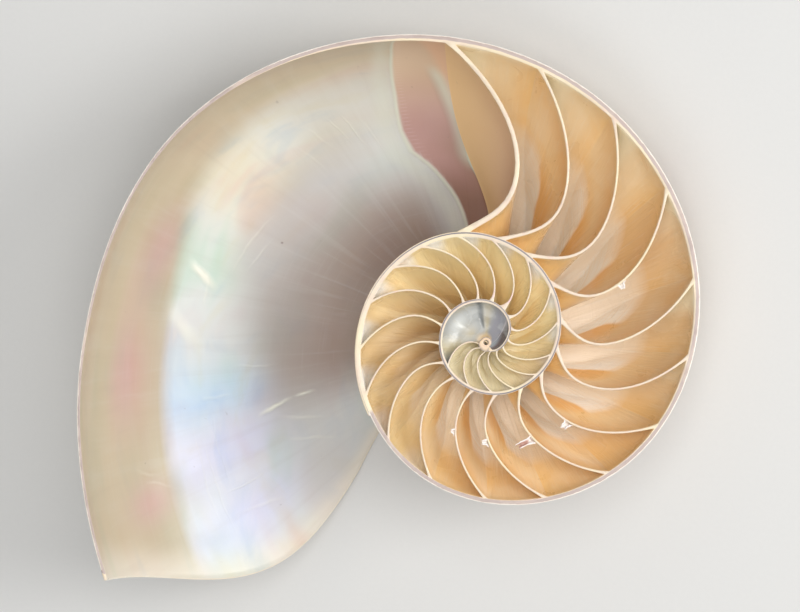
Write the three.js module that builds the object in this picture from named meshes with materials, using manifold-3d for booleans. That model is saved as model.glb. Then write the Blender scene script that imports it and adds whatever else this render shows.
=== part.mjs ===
// Half of a nautilus shell, sawn through its plane of symmetry, lying on its rounded side with the
// sawn face up. Millimetres, +Z up, origin on the ground under the middle of the shell.
//
// The shell is one grown piece: a tapering tube coiled flat around an axis, walled off into chambers
// by bowl-shaped partitions (septa), with the last stretch left open as the room the animal lived in.
// Every point is worked out about the coiling axis from three numbers: the turn angle, how far it is
// from the inner to the outer wall of the tube (0 to 1), and how far around the tube it lies, from
// 0 degrees at the outer rim, in the sawn face, to 180 degrees at the navel on the axis.

import * as THREE from 'three';
import { mergeVertices } from 'three/addons/utils/BufferGeometryUtils.js';
import Module from 'manifold-3d';

// Distance from the axis to the outside of the tube, at every tenth of a turn from the first one.
const RADIUS_STEP = 36;
const FIRST_RADIUS_AT = -576;
const OUTER_RADII = [
  1.2, 1.6, 1.8, 2.0, 2.1, 3.2, 4.7, 7.2, 9.4, 10.6,
  11.2, 11.1, 11.2, 11.7, 12.9, 14.6, 17.2, 20.4, 23.9, 27.4,
  29.5, 31.0, 33.2, 36.7, 40.6, 45.5, 50.5, 57.3, 66.5, 77.6,
  89.8, 96.9, 110.0, 136.0,
];

// Cross-section of the tube, as shares of its outer radius.
const HALF_WIDTH = 0.365;
const WIDEST_AT = 0.4;
const NAVEL_RADIUS = 0.05;
const NAVEL_DEPTH = 0.24;

// The callus, a plug of shell that closes the navel from the outside.
const CALLUS_FROM = 145;
const CALLUS_DEPTH = 17;

// The opening: its edge stands back at the rim and reaches forward on the flank.
const OPENING_AT = 571.7;
const FLANK_REACH = 17.3;
const FLANK_REACH_AROUND = 77;
const FLANK_REACH_SPREAD = 37;

// Wall of the tube, and the thin lining that it lays on the turn inside it.
const WALL_BASE = 0.35;
const WALL_PER_RADIUS = 0.022;
const LIP_WALL = 0.8;
const LIP_WALL_FROM = 430;
const LIP_WALL_TO = 520;
const LINING_BASE = 0.15;
const LINING_PER_RADIUS = 0.008;
const HOLLOW_ENDS_AROUND = 158;

// Septa, newest first: the turn angle of the deepest point of the bowl, and how many degrees further
// forward it meets the outer wall and the inner wall.
const SEPTA = [
  [440.0, 17.5, 24], [422.0, 17.0, 21], [403.5, 17.0, 22], [383.5, 17.0, 20],
  [360.0, 17.0, 18], [337.3, 19.0, 20], [315.3, 19.0, 17], [295.3, 18.0, 13],
  [270.3, 21.0, 11], [249.2, 21.0, 6], [224.2, 24.0, 4], [201.6, 23.5, 5],
  [180.0, 24.0, 2], [158.0, 25.0, 2], [138.0, 23.0, 2], [118.5, 22.5, 2],
  [100.0, 24.0, 2], [81.5, 23.5, 2], [61.5, 25.0, 4], [43.0, 22.0, 7],
  [20.5, 19.5, 11], [-2.5, 19.0, 12], [-27.0, 17.0, 15], [-51.5, 19.5, 17],
  [-81.5, 23.5, 21], [-112.0, 29.0, 21], [-150.0, 39.0, 14], [-180.0, 32.0, 12],
];
const OUTER_CURVE = 2.9;
const INNER_CURVE = 4.0;
const SIDE_LOBE = 0.6;
const SIDE_LOBE_AROUND = 98;
const SIDE_LOBE_SPREAD = 26;
const FIRST_SEPTUM_THICK = 1.4;
const SEPTUM_BASE = 0.4;
const SEPTUM_PER_RADIUS = 0.009;
const THINNEST_AT = 0.35;
const BOWL_SAMPLES = 40;
const BOWL_PASSES = 12;
const SLOPE_STEP = 0.01;

// The first hollow of the shell starts here, and a small pit marks the axis.
const FIRST_HOLLOW_AT = -410;
const PIT_RADIUS = 0.6;
const PIT_DEPTH = 3;
const PIT_SIDES = 10;

// Broken collars of the siphuncle, the cord that ran through the septa:
// [septum number, length, radius], each pointing back from its septum.
const COLLARS = [[4, 2.2, 0.9], [7, 2.6, 1.2], [8, 4.6, 0.9], [9, 1.8, 1.0], [10, 1.4, 0.9]];
const COLLAR_AT = 0.6;
const COLLAR_TIP = 0.45;
const COLLAR_SIDES = 8;
const COLLAR_ROOT = 0.5;
const COLLAR_BELOW_FACE = 0.15;

// Corners closer together than this are one corner.
const WELD = 1e-4;

// How the half lies: the sawn face leans away from level by this much, lowest on this side.
const REST_LEAN = 14.7;
const REST_LEAN_SIDE = 35;

// How finely each surface is divided.
const TURN_STEPS = 60;
const AROUND_STEPS = 14;
const ROOM = { steps: 18, aroundSteps: 10, acrossSteps: 8 };
const LARGE_CHAMBER = { steps: 3, aroundSteps: 6, acrossSteps: 7 };
const SMALL_CHAMBER = { steps: 2, aroundSteps: 4, acrossSteps: 5 };
const FIRST_HOLLOW = { steps: 14, aroundSteps: 4, acrossSteps: 5 };
const LARGE_CHAMBERS = 12;

const SHELL_COLOUR = 0xe3c193;

const turnRadians = THREE.MathUtils.degToRad;

function outerRadius(turn) {
  const last = OUTER_RADII.length - 1;
  const place = THREE.MathUtils.clamp((turn - FIRST_RADIUS_AT) / RADIUS_STEP, 0, last);
  const step = Math.min(Math.floor(place), last - 1);
  const part = place - step;
  const [a, b, c, d] = [-1, 0, 1, 2].map(
    (k) => Math.log(OUTER_RADII[THREE.MathUtils.clamp(step + k, 0, last)]),
  );
  const bend = 2 * a - 5 * b + 4 * c - d + part * (3 * (b - c) + d - a);
  return Math.exp(b + 0.5 * part * (c - a + part * bend));
}

// Outside of the tube in one cross-section: x is the distance from the axis, y the depth.
function outside(turn, around) {
  const size = outerRadius(turn);
  const fill = THREE.MathUtils.smoothstep(around, CALLUS_FROM, 180);
  const angle = turnRadians(around);
  let reach = WIDEST_AT + (1 - WIDEST_AT) * Math.cos(angle);
  let depth = HALF_WIDTH * Math.sin(angle);
  if (around > 90) {
    reach = WIDEST_AT + (WIDEST_AT - NAVEL_RADIUS) * Math.cos(angle);
    depth = NAVEL_DEPTH + (HALF_WIDTH - NAVEL_DEPTH) * Math.sin(angle);
  }
  return new THREE.Vector2(
    size * reach * (1 - fill),
    THREE.MathUtils.lerp(size * depth, CALLUS_DEPTH, fill),
  );
}

// Direction into the tube from its outside, within the cross-section.
function inward(turn, around) {
  const along = outside(turn, around + 1).sub(outside(turn, around - 1));
  return new THREE.Vector2(-along.y, along.x).normalize();
}

function wallThickness(turn) {
  const grown = WALL_BASE + WALL_PER_RADIUS * outerRadius(turn);
  const towardLip = THREE.MathUtils.smoothstep(turn, LIP_WALL_FROM, LIP_WALL_TO);
  return THREE.MathUtils.lerp(grown, LIP_WALL, towardLip);
}

// Both walls of the hollow in one cross-section.
function hollowWalls(turn, around) {
  const before = turn - 360;
  const lining = LINING_BASE + LINING_PER_RADIUS * outerRadius(before);
  return {
    inner: outside(before, around).addScaledVector(inward(before, around), -lining),
    outer: outside(turn, around).addScaledVector(inward(turn, around), wallThickness(turn)),
  };
}

// A point in the hollow, a share of the way from its inner to its outer wall.
function hollowPoint(turn, share, around) {
  const { inner, outer } = hollowWalls(turn, around);
  const growth = outer.length() / inner.length();
  return inner.lerp(outer, (growth ** share - 1) / (growth - 1));
}

function place(turn, flat) {
  const angle = turnRadians(turn);
  return new THREE.Vector3(flat.x * Math.cos(angle), flat.x * Math.sin(angle), -flat.y);
}

function openingAt(around) {
  const off = (around - FLANK_REACH_AROUND) / FLANK_REACH_SPREAD;
  return OPENING_AT + FLANK_REACH * Math.exp(-off * off);
}

const shares = (steps) => Array.from({ length: steps + 1 }, (_, k) => k / steps);

// The bowl of a septum, as degrees forward of its deepest point in the sawn face.
function septumBowl([, outerReach, innerReach]) {
  const rise = (share, lift) => (outerReach + lift) * share ** OUTER_CURVE
    + (innerReach + lift) * (1 - share) ** INNER_CURVE;
  let lift = 0;
  for (let pass = 0; pass < BOWL_PASSES; pass += 1) {
    const lowest = lift;
    lift = Math.min(...shares(BOWL_SAMPLES).map((share) => rise(share, lowest)));
  }
  return (share, around) => {
    const off = (around - SIDE_LOBE_AROUND) / SIDE_LOBE_SPREAD;
    const flank = 1 - SIDE_LOBE * Math.exp(-off * off);
    return flank * rise(share, lift) - lift;
  };
}

const bowls = SEPTA.map(septumBowl);

function septumFront(number, share, around) {
  return SEPTA[number][0] + bowls[number](share, around);
}

// The back of a septum lies its thickness behind the front, measured square to the slope of the bowl.
function septumBack(number, share, around) {
  const front = septumFront(number, share, around);
  const size = outerRadius(front);
  const away = Math.max(hollowPoint(front, share, around).x, THINNEST_AT * size);
  const low = Math.max(share - SLOPE_STEP, 0);
  const high = Math.min(share + SLOPE_STEP, 1);
  const rise = turnRadians(bowls[number](high, around) - bowls[number](low, around));
  const slope = rise / ((high - low) * Math.log(size / outerRadius(front - 360)));
  const thickness = number === 0 ? FIRST_SEPTUM_THICK : SEPTUM_BASE + SEPTUM_PER_RADIUS * size;
  return front - THREE.MathUtils.radToDeg((thickness * Math.hypot(1, slope)) / away);
}

const corners = [];

function addTriangle(a, b, c) {
  if (a.equals(b) || b.equals(c) || c.equals(a)) return;
  corners.push(...a.toArray(), ...b.toArray(), ...c.toArray());
}

// A sheet of points in rows. Its face looks outward from the tube, or into it when turned over.
function addSheet(rows, turnedOver = false) {
  for (let i = 1; i < rows.length; i += 1) {
    for (let j = 1; j < rows[i].length; j += 1) {
      const [a, b, c, d] = [rows[i - 1][j - 1], rows[i][j - 1], rows[i][j], rows[i - 1][j]];
      if (turnedOver) {
        addTriangle(a, b, c);
        addTriangle(a, c, d);
      } else {
        addTriangle(a, d, c);
        addTriangle(a, c, b);
      }
    }
  }
}

// One hollow, from its back end to its front end, each given as a turn angle for every place in the
// cross-section. Returns its outline in the sawn face and its rim at the front.
function addHollow({ back, front, steps, aroundSteps, acrossSteps, openFront }) {
  const around = shares(aroundSteps).map((part) => part * HOLLOW_ENDS_AROUND);
  const across = shares(acrossSteps);
  const end = (turnAt) => across.map((share) => around.map(
    (angle) => {
      const turn = turnAt(share, angle);
      return place(turn, hollowPoint(turn, share, angle));
    },
  ));
  const loop = [
    ...around.map((angle) => [1, angle]),
    ...across.slice(1, -1).reverse().map((share) => [share, HOLLOW_ENDS_AROUND]),
    ...around.toReversed().map((angle) => [0, angle]),
  ];
  const rows = shares(steps).map((part) => loop.map(([share, angle]) => {
    const turn = THREE.MathUtils.lerp(back(share, angle), front(share, angle), part);
    return place(turn, hollowPoint(turn, share, angle));
  }));
  addSheet(rows, true);
  const backEnd = end(back);
  addSheet(backEnd, true);
  const innerEdge = rows.map((row) => row.at(-1)).toReversed();
  const backEdge = backEnd.slice(1, -1).map((row) => row[0]);
  const outerEdge = rows.map((row) => row[0]);
  if (openFront) return { outline: [...innerEdge, ...backEdge, ...outerEdge], rim: rows.at(-1) };
  const frontEnd = end(front);
  addSheet(frontEnd);
  const frontEdge = frontEnd.slice(1, -1).map((row) => row[0]).toReversed();
  return { outline: [...outerEdge, ...frontEdge, ...innerEdge, ...backEdge] };
}

function addOutside() {
  const around = shares(AROUND_STEPS).map((part) => part * 180);
  const rows = shares(TURN_STEPS).map((part) => around.map((angle) => {
    const turn = openingAt(angle) - 360 + 360 * part;
    return place(turn, outside(turn, angle));
  }));
  addSheet(rows);
  return rows;
}

function addPit() {
  const edge = new THREE.Vector2(PIT_RADIUS, 0);
  const rim = shares(PIT_SIDES).slice(1).map((part) => place(360 * part, edge));
  const bottom = new THREE.Vector3(0, 0, -PIT_DEPTH);
  rim.forEach((corner, k) => addTriangle(corner, rim[(k + 1) % PIT_SIDES], bottom));
  return rim;
}

// The flat sawn face fills what lies between the outline and the hollows.
function addSawnFace(outline, holes) {
  const flat = (loop) => loop.map((corner) => new THREE.Vector2(corner.x, corner.y));
  const points = [outline, ...holes].flat();
  THREE.ShapeUtils.triangulateShape(flat(outline), holes.map(flat)).forEach(([a, b, c]) => {
    const [p, q, r] = [points[a], points[b], points[c]];
    const facesUp = (q.x - p.x) * (r.y - p.y) > (q.y - p.y) * (r.x - p.x);
    addTriangle(p, facesUp ? q : r, facesUp ? r : q);
  });
}

function addShellSkin() {
  const outsideRows = addOutside();
  const room = addHollow({
    back: (share, around) => septumFront(0, share, around),
    front: (share, around) => openingAt(around),
    ...ROOM,
    openFront: true,
  });
  const lip = [...outsideRows.at(-1), ...outsideRows[0].slice(0, -1).toReversed()];
  addSheet([lip, room.rim]);

  const chambers = SEPTA.map((_, number) => {
    const isFirstHollow = number === SEPTA.length - 1;
    const fineness = number < LARGE_CHAMBERS ? LARGE_CHAMBER : SMALL_CHAMBER;
    return addHollow({
      back: isFirstHollow
        ? () => FIRST_HOLLOW_AT
        : (share, around) => septumFront(number + 1, share, around),
      front: (share, around) => septumBack(number, share, around),
      ...(isFirstHollow ? FIRST_HOLLOW : fineness),
      openFront: false,
    }).outline;
  });
  const outline = [...outsideRows.map((row) => row[0]), ...room.outline.toReversed()];
  addSawnFace(outline, [...chambers, addPit()]);
}

const wasm = await Module();
wasm.setup();

function asSolid(geometry) {
  geometry.deleteAttribute('normal');
  geometry.deleteAttribute('uv');
  const merged = mergeVertices(geometry, WELD);
  return new wasm.Manifold(new wasm.Mesh({
    numProp: 3,
    vertProperties: merged.attributes.position.array,
    triVerts: new Uint32Array(merged.index.array),
  }));
}

function asGeometry(solid) {
  const mesh = solid.getMesh();
  const geometry = new THREE.BufferGeometry();
  geometry.setAttribute('position', new THREE.BufferAttribute(mesh.vertProperties, 3));
  geometry.setIndex(new THREE.BufferAttribute(mesh.triVerts, 1));
  return geometry;
}

function shellSolid() {
  addShellSkin();
  const geometry = new THREE.BufferGeometry();
  geometry.setAttribute('position', new THREE.Float32BufferAttribute(corners, 3));
  return asSolid(geometry);
}

function collarSolid([septumNumber, length, radius]) {
  const number = septumNumber - 1;
  const turn = (septumFront(number, COLLAR_AT, 0) + septumBack(number, COLLAR_AT, 0)) / 2;
  const root = place(turn, hollowPoint(turn, COLLAR_AT, 0));
  const backward = turnRadians(turn - 90);
  const whole = length + COLLAR_ROOT;
  const collar = new THREE.CylinderGeometry(radius, radius * COLLAR_TIP, whole, COLLAR_SIDES);
  collar.translate(0, -whole / 2, 0);
  collar.rotateZ(backward + Math.PI / 2);
  collar.translate(root.x, root.y, -radius - COLLAR_BELOW_FACE);
  return asSolid(collar);
}

// Tips the half over to the way it rests, and puts the origin on the ground under its middle.
function layDown(geometry) {
  const side = turnRadians(REST_LEAN_SIDE);
  const axis = new THREE.Vector3(-Math.sin(side), Math.cos(side), 0);
  geometry.applyQuaternion(new THREE.Quaternion().setFromAxisAngle(axis, turnRadians(REST_LEAN)));
  geometry.computeBoundingBox();
  const middle = geometry.boundingBox.getCenter(new THREE.Vector3());
  geometry.translate(-middle.x, -middle.y, -geometry.boundingBox.min.z);
  return geometry;
}

const solid = COLLARS.reduce((whole, collar) => whole.add(collarSolid(collar)), shellSolid());
const shell = new THREE.Mesh(
  layDown(asGeometry(solid)),
  new THREE.MeshStandardMaterial({ color: SHELL_COLOUR, roughness: 0.35, metalness: 0 }),
);
shell.name = 'nautilus_shell_half';

const group = new THREE.Group();
group.add(shell);

export default group;
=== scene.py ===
import math

import bpy
import numpy as np
from mathutils import Matrix, Quaternion, Vector, geometry


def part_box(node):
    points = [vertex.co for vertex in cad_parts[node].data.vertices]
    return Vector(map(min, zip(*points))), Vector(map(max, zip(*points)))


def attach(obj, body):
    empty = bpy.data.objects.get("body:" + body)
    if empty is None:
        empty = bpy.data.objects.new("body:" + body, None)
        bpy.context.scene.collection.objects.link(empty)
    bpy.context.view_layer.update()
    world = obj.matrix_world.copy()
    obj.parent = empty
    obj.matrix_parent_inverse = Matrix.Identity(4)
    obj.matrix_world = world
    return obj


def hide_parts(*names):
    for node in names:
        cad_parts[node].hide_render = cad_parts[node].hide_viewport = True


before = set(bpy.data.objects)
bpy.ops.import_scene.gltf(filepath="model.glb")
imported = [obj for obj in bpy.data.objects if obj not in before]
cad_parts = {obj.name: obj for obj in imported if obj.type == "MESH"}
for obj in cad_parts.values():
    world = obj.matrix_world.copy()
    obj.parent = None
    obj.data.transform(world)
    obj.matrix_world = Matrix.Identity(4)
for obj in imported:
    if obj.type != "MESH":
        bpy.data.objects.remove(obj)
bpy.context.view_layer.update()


# The shell's form. A nautilus shell is one grown tube of aragonite, coiled flat about an axis and here
# sawn through its middle. Every point is worked out in millimetres about that axis from the turn angle,
# the share of the way across the hollow, and the angle around the tube: 0 in the cut, 180 at the navel.

RADIUS_STEP = 36
FIRST_RADIUS_AT = -576
OUTER_RADII = [
    1.2, 1.6, 1.8, 2.0, 2.1, 3.2, 4.7, 7.2, 9.4, 10.6,
    11.2, 11.1, 11.2, 11.7, 12.9, 14.6, 17.2, 20.4, 23.9, 27.4,
    29.5, 31.0, 33.2, 36.7, 40.6, 45.5, 50.5, 57.3, 66.5, 77.6,
    89.8, 96.9, 110.0, 136.0,
]
HALF_WIDTH = 0.365
WIDEST_AT = 0.4
NAVEL_RADIUS = 0.05
NAVEL_DEPTH = 0.24
CALLUS_FROM = 145
CALLUS_DEPTH = 17
OPENING_AT = 571.7
FLANK_REACH = 17.3
FLANK_REACH_AROUND = 77
FLANK_REACH_SPREAD = 37
HOLLOW_ENDS_AROUND = 158


def smooth(x, low, high):
    t = np.clip((x - low) / (high - low), 0, 1)
    return t * t * (3 - 2 * t)


def bell(x, middle, spread):
    return np.exp(-(((x - middle) / spread) ** 2))


def outer_radius(turn):
    logs = np.log(OUTER_RADII)
    last = len(logs) - 1
    place = np.clip((np.asarray(turn, float) - FIRST_RADIUS_AT) / RADIUS_STEP, 0, last)
    step = np.minimum(np.floor(place).astype(int), last - 1)
    t = place - step
    a, b, c, d = (logs[np.clip(step + k, 0, last)] for k in (-1, 0, 1, 2))
    bend = 2 * a - 5 * b + 4 * c - d + t * (3 * (b - c) + d - a)
    return np.exp(b + 0.5 * t * (c - a + t * bend))


def outside(turn, around):
    size = outer_radius(turn)
    fill = smooth(around, CALLUS_FROM, 180)
    angle = np.radians(around)
    inner_side = around > 90
    reach = WIDEST_AT + np.where(inner_side, WIDEST_AT - NAVEL_RADIUS, 1 - WIDEST_AT) * np.cos(angle)
    flank = NAVEL_DEPTH + (HALF_WIDTH - NAVEL_DEPTH) * np.sin(angle)
    depth = np.where(inner_side, flank, HALF_WIDTH * np.sin(angle))
    return np.stack([size * reach * (1 - fill), size * depth * (1 - fill) + CALLUS_DEPTH * fill], -1)


def inward(turn, around):
    along = outside(turn, around + 1) - outside(turn, around - 1)
    square = np.stack([-along[..., 1], along[..., 0]], -1)
    return square / np.linalg.norm(square, axis=-1, keepdims=True)


def wall_thickness(turn):
    grown = 0.35 + 0.022 * outer_radius(turn)
    lip = smooth(turn, 430, 520)
    return grown * (1 - lip) + 0.8 * lip


def hollow_walls(turn, around):
    before = turn - 360
    lining = 0.15 + 0.008 * outer_radius(before)
    inner = outside(before, around) - inward(before, around) * lining[..., None]
    outer = outside(turn, around) + inward(turn, around) * wall_thickness(turn)[..., None]
    return inner, outer


def hollow_point(turn, share, around):
    inner, outer = hollow_walls(turn, around)
    growth = np.linalg.norm(outer, axis=-1) / np.linalg.norm(inner, axis=-1)
    part = (growth ** share - 1) / (growth - 1)
    return inner + (outer - inner) * part[..., None]


def place(turn, flat):
    angle = np.radians(turn)
    return np.stack([flat[..., 0] * np.cos(angle), flat[..., 0] * np.sin(angle), -flat[..., 1]], -1)


def opening_at(around):
    return OPENING_AT + FLANK_REACH * bell(around, FLANK_REACH_AROUND, FLANK_REACH_SPREAD)


# The skin. The shell's surface is gathered here sheet by sheet, as grids of points that meet along their
# edges. Each face remembers what it is made of, and each of its corners its colour, with some painted
# highlight and painted shade in it, and where it lies in the shell, so that the finishes can follow the
# shell's growth.

STUFFS = ["outside", "sawn_edge", "living_chamber", "chamber", "first_hollow"]
MEASURES = ["turn", "around", "share", "along", "pearl", "from_muscle", "from_suture", "seam", "rim"]
skin_points = []
skin_measures = []
skin_tints = []
skin_faces = []
skin_stuffs = []


def colour(red, green, blue):
    """A colour given by its screen values from 0 to 255, as the linear values that a shader takes."""
    screen = np.array([red, green, blue]) / 255
    return np.where(screen < 0.04045, screen / 12.92, ((screen + 0.055) / 1.055) ** 2.4)


def painted(base, *patches):
    """Lays soft patches of colour, each with its own mask from 0 to 1, over a base colour."""
    tint = base
    for tone, mask in patches:
        tint = tint + (tone - tint) * np.clip(mask, 0, 1)[..., None]
    return tint


def even(count, low=0.0, high=1.0):
    return np.linspace(low, high, count + 1)


def spread(*arrays):
    return np.broadcast_arrays(*(np.asarray(a, float) for a in arrays))


def add_points(points, tint, measures):
    shape = points.shape[:-1]
    start = sum(len(p) for p in skin_points)
    skin_points.append(points.reshape(-1, 3))
    skin_tints.append(np.broadcast_to(tint, shape + (3,)).reshape(-1, 3))
    values = [np.broadcast_to(measures.get(name, 0.0), shape).reshape(-1) for name in MEASURES]
    skin_measures.append(np.stack(values, -1))
    return start + np.arange(points[..., 0].size).reshape(shape)


def add_sheet(points, stuff, tint, turned_over=False, **measures):
    number = add_points(points, tint, measures)
    a, b, c, d = number[:-1, :-1], number[1:, :-1], number[1:, 1:], number[:-1, 1:]
    ring = [a, b, c, d] if turned_over else [a, d, c, b]
    quads = np.stack(ring, -1).reshape(-1, 4)
    skin_faces.extend(quads.tolist())
    skin_stuffs.extend([STUFFS.index(stuff)] * len(quads))


# The outside: a porcelain-like layer over the whole rounded back of the half, cream white with the
# rust-brown flames of the young shell fading out towards the opening. A plug of callus closes the navel.
# It is hidden in the sawn view and finished all the same.

BEVEL = 0.13
OUTSIDE_TURNS = 260
OUTSIDE_AROUND = 72
PORCELAIN = colour(236, 224, 203)
PORCELAIN_WARM = colour(226, 203, 170)
FLAME = colour(164, 86, 40)
FLAME_DARK = colour(120, 56, 26)


def lowered(points, bevel):
    """Drops the edge that lies in the sawn face to the foot of its bevel."""
    points[..., 2] = np.minimum(points[..., 2], -bevel)
    return points


part, outside_around = spread(even(OUTSIDE_TURNS)[:, None], even(OUTSIDE_AROUND, 0, 180)[None])
outside_turn = opening_at(outside_around) - 360 + 360 * part
outside_points = lowered(place(outside_turn, outside(outside_turn, outside_around)), BEVEL)
outside_points[:, -1] = (0, 0, -CALLUS_DEPTH)
outside_tint = painted(PORCELAIN, (PORCELAIN_WARM, 1 - smooth(outside_turn, 380, 520)))
add_sheet(outside_points, "outside", outside_tint, turn=outside_turn, around=outside_around, along=part)


class Finish:
    """A material made of nodes, with short names for the few steps that all the finishes use."""

    def __init__(self, name):
        self.material = bpy.data.materials.new(name)
        self.material.use_nodes = True
        self.tree = self.material.node_tree
        self.shader = self.tree.nodes["Principled BSDF"]
        self.tint = self.node("ShaderNodeAttribute", attribute_name="tint").outputs["Color"]
        self.grid = self.node("ShaderNodeTexCoord").outputs["Object"]

    def node(self, kind, sockets=(), **settings):
        made = self.tree.nodes.new(kind)
        for name, value in settings.items():
            setattr(made, name, value)
        for socket, value in sockets:
            if isinstance(value, bpy.types.NodeSocket):
                self.tree.links.new(value, made.inputs[socket])
            else:
                made.inputs[socket].default_value = (*value, 1) if isinstance(value, np.ndarray) else value
        return made

    def measure(self, name):
        return self.node("ShaderNodeAttribute", attribute_name=name).outputs["Fac"]

    def worked(self, operation, *terms):
        result = terms[0]
        for term in terms[1:] or [0.0]:
            result = self.node("ShaderNodeMath", [(0, result), (1, term)], operation=operation).outputs[0]
        return result

    def sum(self, *terms):
        return self.worked("ADD", *terms)

    def times(self, *terms):
        return self.worked("MULTIPLY", *terms)

    def slide(self, value, low, high, to_low=0.0, to_high=1.0):
        """Goes softly from to_low to to_high as the value goes from low to high."""
        sockets = [(0, value), (1, low), (2, high), (3, to_low), (4, to_high)]
        return self.node("ShaderNodeMapRange", sockets, interpolation_type="SMOOTHSTEP").outputs[0]

    def line(self, value, width):
        """A soft line where the value is nought."""
        return self.slide(self.worked("ABSOLUTE", value), 0.0, width, 1.0, 0.0)

    def along_growth(self, turn_scale, around_scale, share_scale=0.0):
        """A place in the shell's own directions, for streaks that follow its growth."""
        scales = zip(("turn", "around", "share"), (turn_scale, around_scale, share_scale))
        sockets = [(k, self.times(self.measure(name), scale)) for k, (name, scale) in enumerate(scales)]
        return self.node("ShaderNodeCombineXYZ", sockets).outputs[0]

    def noise(self, scale=1.0, detail=3.0, roughness=0.5, distortion=0.0, at=None):
        sockets = [("Vector", at or self.grid), ("Scale", scale), ("Detail", detail),
                   ("Roughness", roughness), ("Distortion", distortion)]
        return self.node("ShaderNodeTexNoise", sockets).outputs[0]

    def mix(self, share, first, second, way="MIX"):
        sockets = [(0, share), (6, first), (7, second)]
        return self.node("ShaderNodeMix", sockets, data_type="RGBA", blend_type=way).outputs[2]

    def finish(self, tint, roughness, height, **constants):
        """Height is in metres. The constants go straight on the shader's own sockets."""
        self.tree.links.new(tint, self.shader.inputs["Base Color"])
        self.tree.links.new(roughness, self.shader.inputs["Roughness"])
        bump = self.node("ShaderNodeBump", [("Height", height), ("Strength", 1.0), ("Distance", 1.0)])
        self.tree.links.new(bump.outputs[0], self.shader.inputs["Normal"])
        for name, value in constants.items():
            self.shader.inputs[name.replace("_", " ").title()].default_value = value


f = outside_finish = Finish("outside")
turn, around = f.measure("turn"), f.measure("around")
bend = f.sum(f.times(turn, 0.40), f.times(f.noise(scale=70), 6.0), f.times(around, -0.012))
flames = f.slide(f.worked("SINE", bend), 0.05, 0.55)
broken = f.slide(f.noise(scale=110, detail=2), 0.36, 0.56)
flames = f.times(flames, broken, f.slide(turn, 405, 500, 1, 0), f.slide(around, 112, 150, 1, 0))
growth = f.noise(at=f.along_growth(1.6, 0.03), detail=5, roughness=0.65)
tint = f.mix(f.times(f.slide(growth, 0.35, 0.7), 0.25), f.tint, PORCELAIN_WARM)
tint = f.mix(f.times(flames, 0.95), tint, FLAME)
tint = f.mix(f.times(flames, f.slide(f.noise(scale=260, detail=4), 0.5, 0.75), 0.6), tint, FLAME_DARK)
height = f.sum(f.times(growth, 0.00010), f.times(f.noise(scale=900, detail=2), 0.00001))
f.finish(tint, f.slide(f.noise(scale=180, detail=4), 0.3, 0.7, 0.26, 0.44), height, coat_weight=0.15)


# The septa: thin bowls of nacre, hollow towards the opening, that the animal laid down behind itself
# one after the other. Newest first: the turn of the deepest point of the bowl, and how many degrees
# further forward it meets the outer and the inner wall. Each thickens where it joins the walls.

SEPTA = [
    (440.0, 17.5, 24), (422.0, 17.0, 21), (403.5, 17.0, 22), (383.5, 17.0, 20),
    (360.0, 17.0, 18), (337.3, 19.0, 20), (315.3, 19.0, 17), (295.3, 18.0, 13),
    (270.3, 21.0, 11), (249.2, 21.0, 6), (224.2, 24.0, 4), (201.6, 23.5, 5),
    (180.0, 24.0, 2), (158.0, 25.0, 2), (138.0, 23.0, 2), (118.5, 22.5, 2),
    (100.0, 24.0, 2), (81.5, 23.5, 2), (61.5, 25.0, 4), (43.0, 22.0, 7),
    (20.5, 19.5, 11), (-2.5, 19.0, 12), (-27.0, 17.0, 15), (-51.5, 19.5, 17),
    (-81.5, 23.5, 21), (-112.0, 29.0, 21), (-150.0, 39.0, 14), (-180.0, 32.0, 12),
]
OUTER_CURVE = 2.9
INNER_CURVE = 4.0
SIDE_LOBE = 0.6
SIDE_LOBE_AROUND = 98
SIDE_LOBE_SPREAD = 26
FIRST_SEPTUM_THICK = 1.15
SEPTUM_BASE = 0.26
SEPTUM_PER_RADIUS = 0.0062
THINNEST_AT = 0.35
SLOPE_STEP = 0.01
FILLET = 0.4
FILLET_FADE = 0.9
FLARED_AT = 66
FLARED_SPREAD = 17
FLARE = 2.4
FIRST_HOLLOW_AT = -410
wobble = np.random.default_rng(7).uniform(0, 2 * np.pi, (len(SEPTA), 3))


def septum_bowl(number):
    _, outer_reach, inner_reach = SEPTA[number]

    def rise(share, lift):
        return (outer_reach + lift) * share ** OUTER_CURVE + (inner_reach + lift) * (1 - share) ** INNER_CURVE

    lift = 0.0
    for _ in range(12):
        lift = rise(even(40), lift).min()

    def bowl(share, around):
        flank = 1 - SIDE_LOBE * bell(around, SIDE_LOBE_AROUND, SIDE_LOBE_SPREAD)
        ripple = np.sin(9 * share + wobble[number, 0]) + np.sin(5 * share + around / 25 + wobble[number, 1])
        return flank * rise(share, lift) - lift + 0.22 * ripple * np.sin(np.pi * share)

    return bowl


bowls = [septum_bowl(number) for number in range(len(SEPTA))]


def fillet(turn, share, around):
    """How much thicker, in degrees of turn, a septum is beside the walls that it joins."""
    here = hollow_point(turn, share, around)
    size = outer_radius(turn)
    scale = np.clip(size / 50, 0.25, 1)
    scale = scale * (1 + FLARE * bell(turn, FLARED_AT, FLARED_SPREAD) * (1 - smooth(share, 0.1, 0.5)))
    to_wall = np.minimum(
        np.linalg.norm(here - hollow_point(turn, np.ones_like(share), around), axis=-1),
        np.linalg.norm(here - hollow_point(turn, np.zeros_like(share), around), axis=-1),
    )
    away = np.maximum(here[..., 0], THINNEST_AT * size)
    return np.degrees(FILLET * scale * np.exp(-to_wall / (FILLET_FADE * scale)) / away)


def septum_front(number, share, around):
    turn = SEPTA[number][0] + bowls[number](share, around)
    return turn + fillet(turn, share, around)


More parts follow.
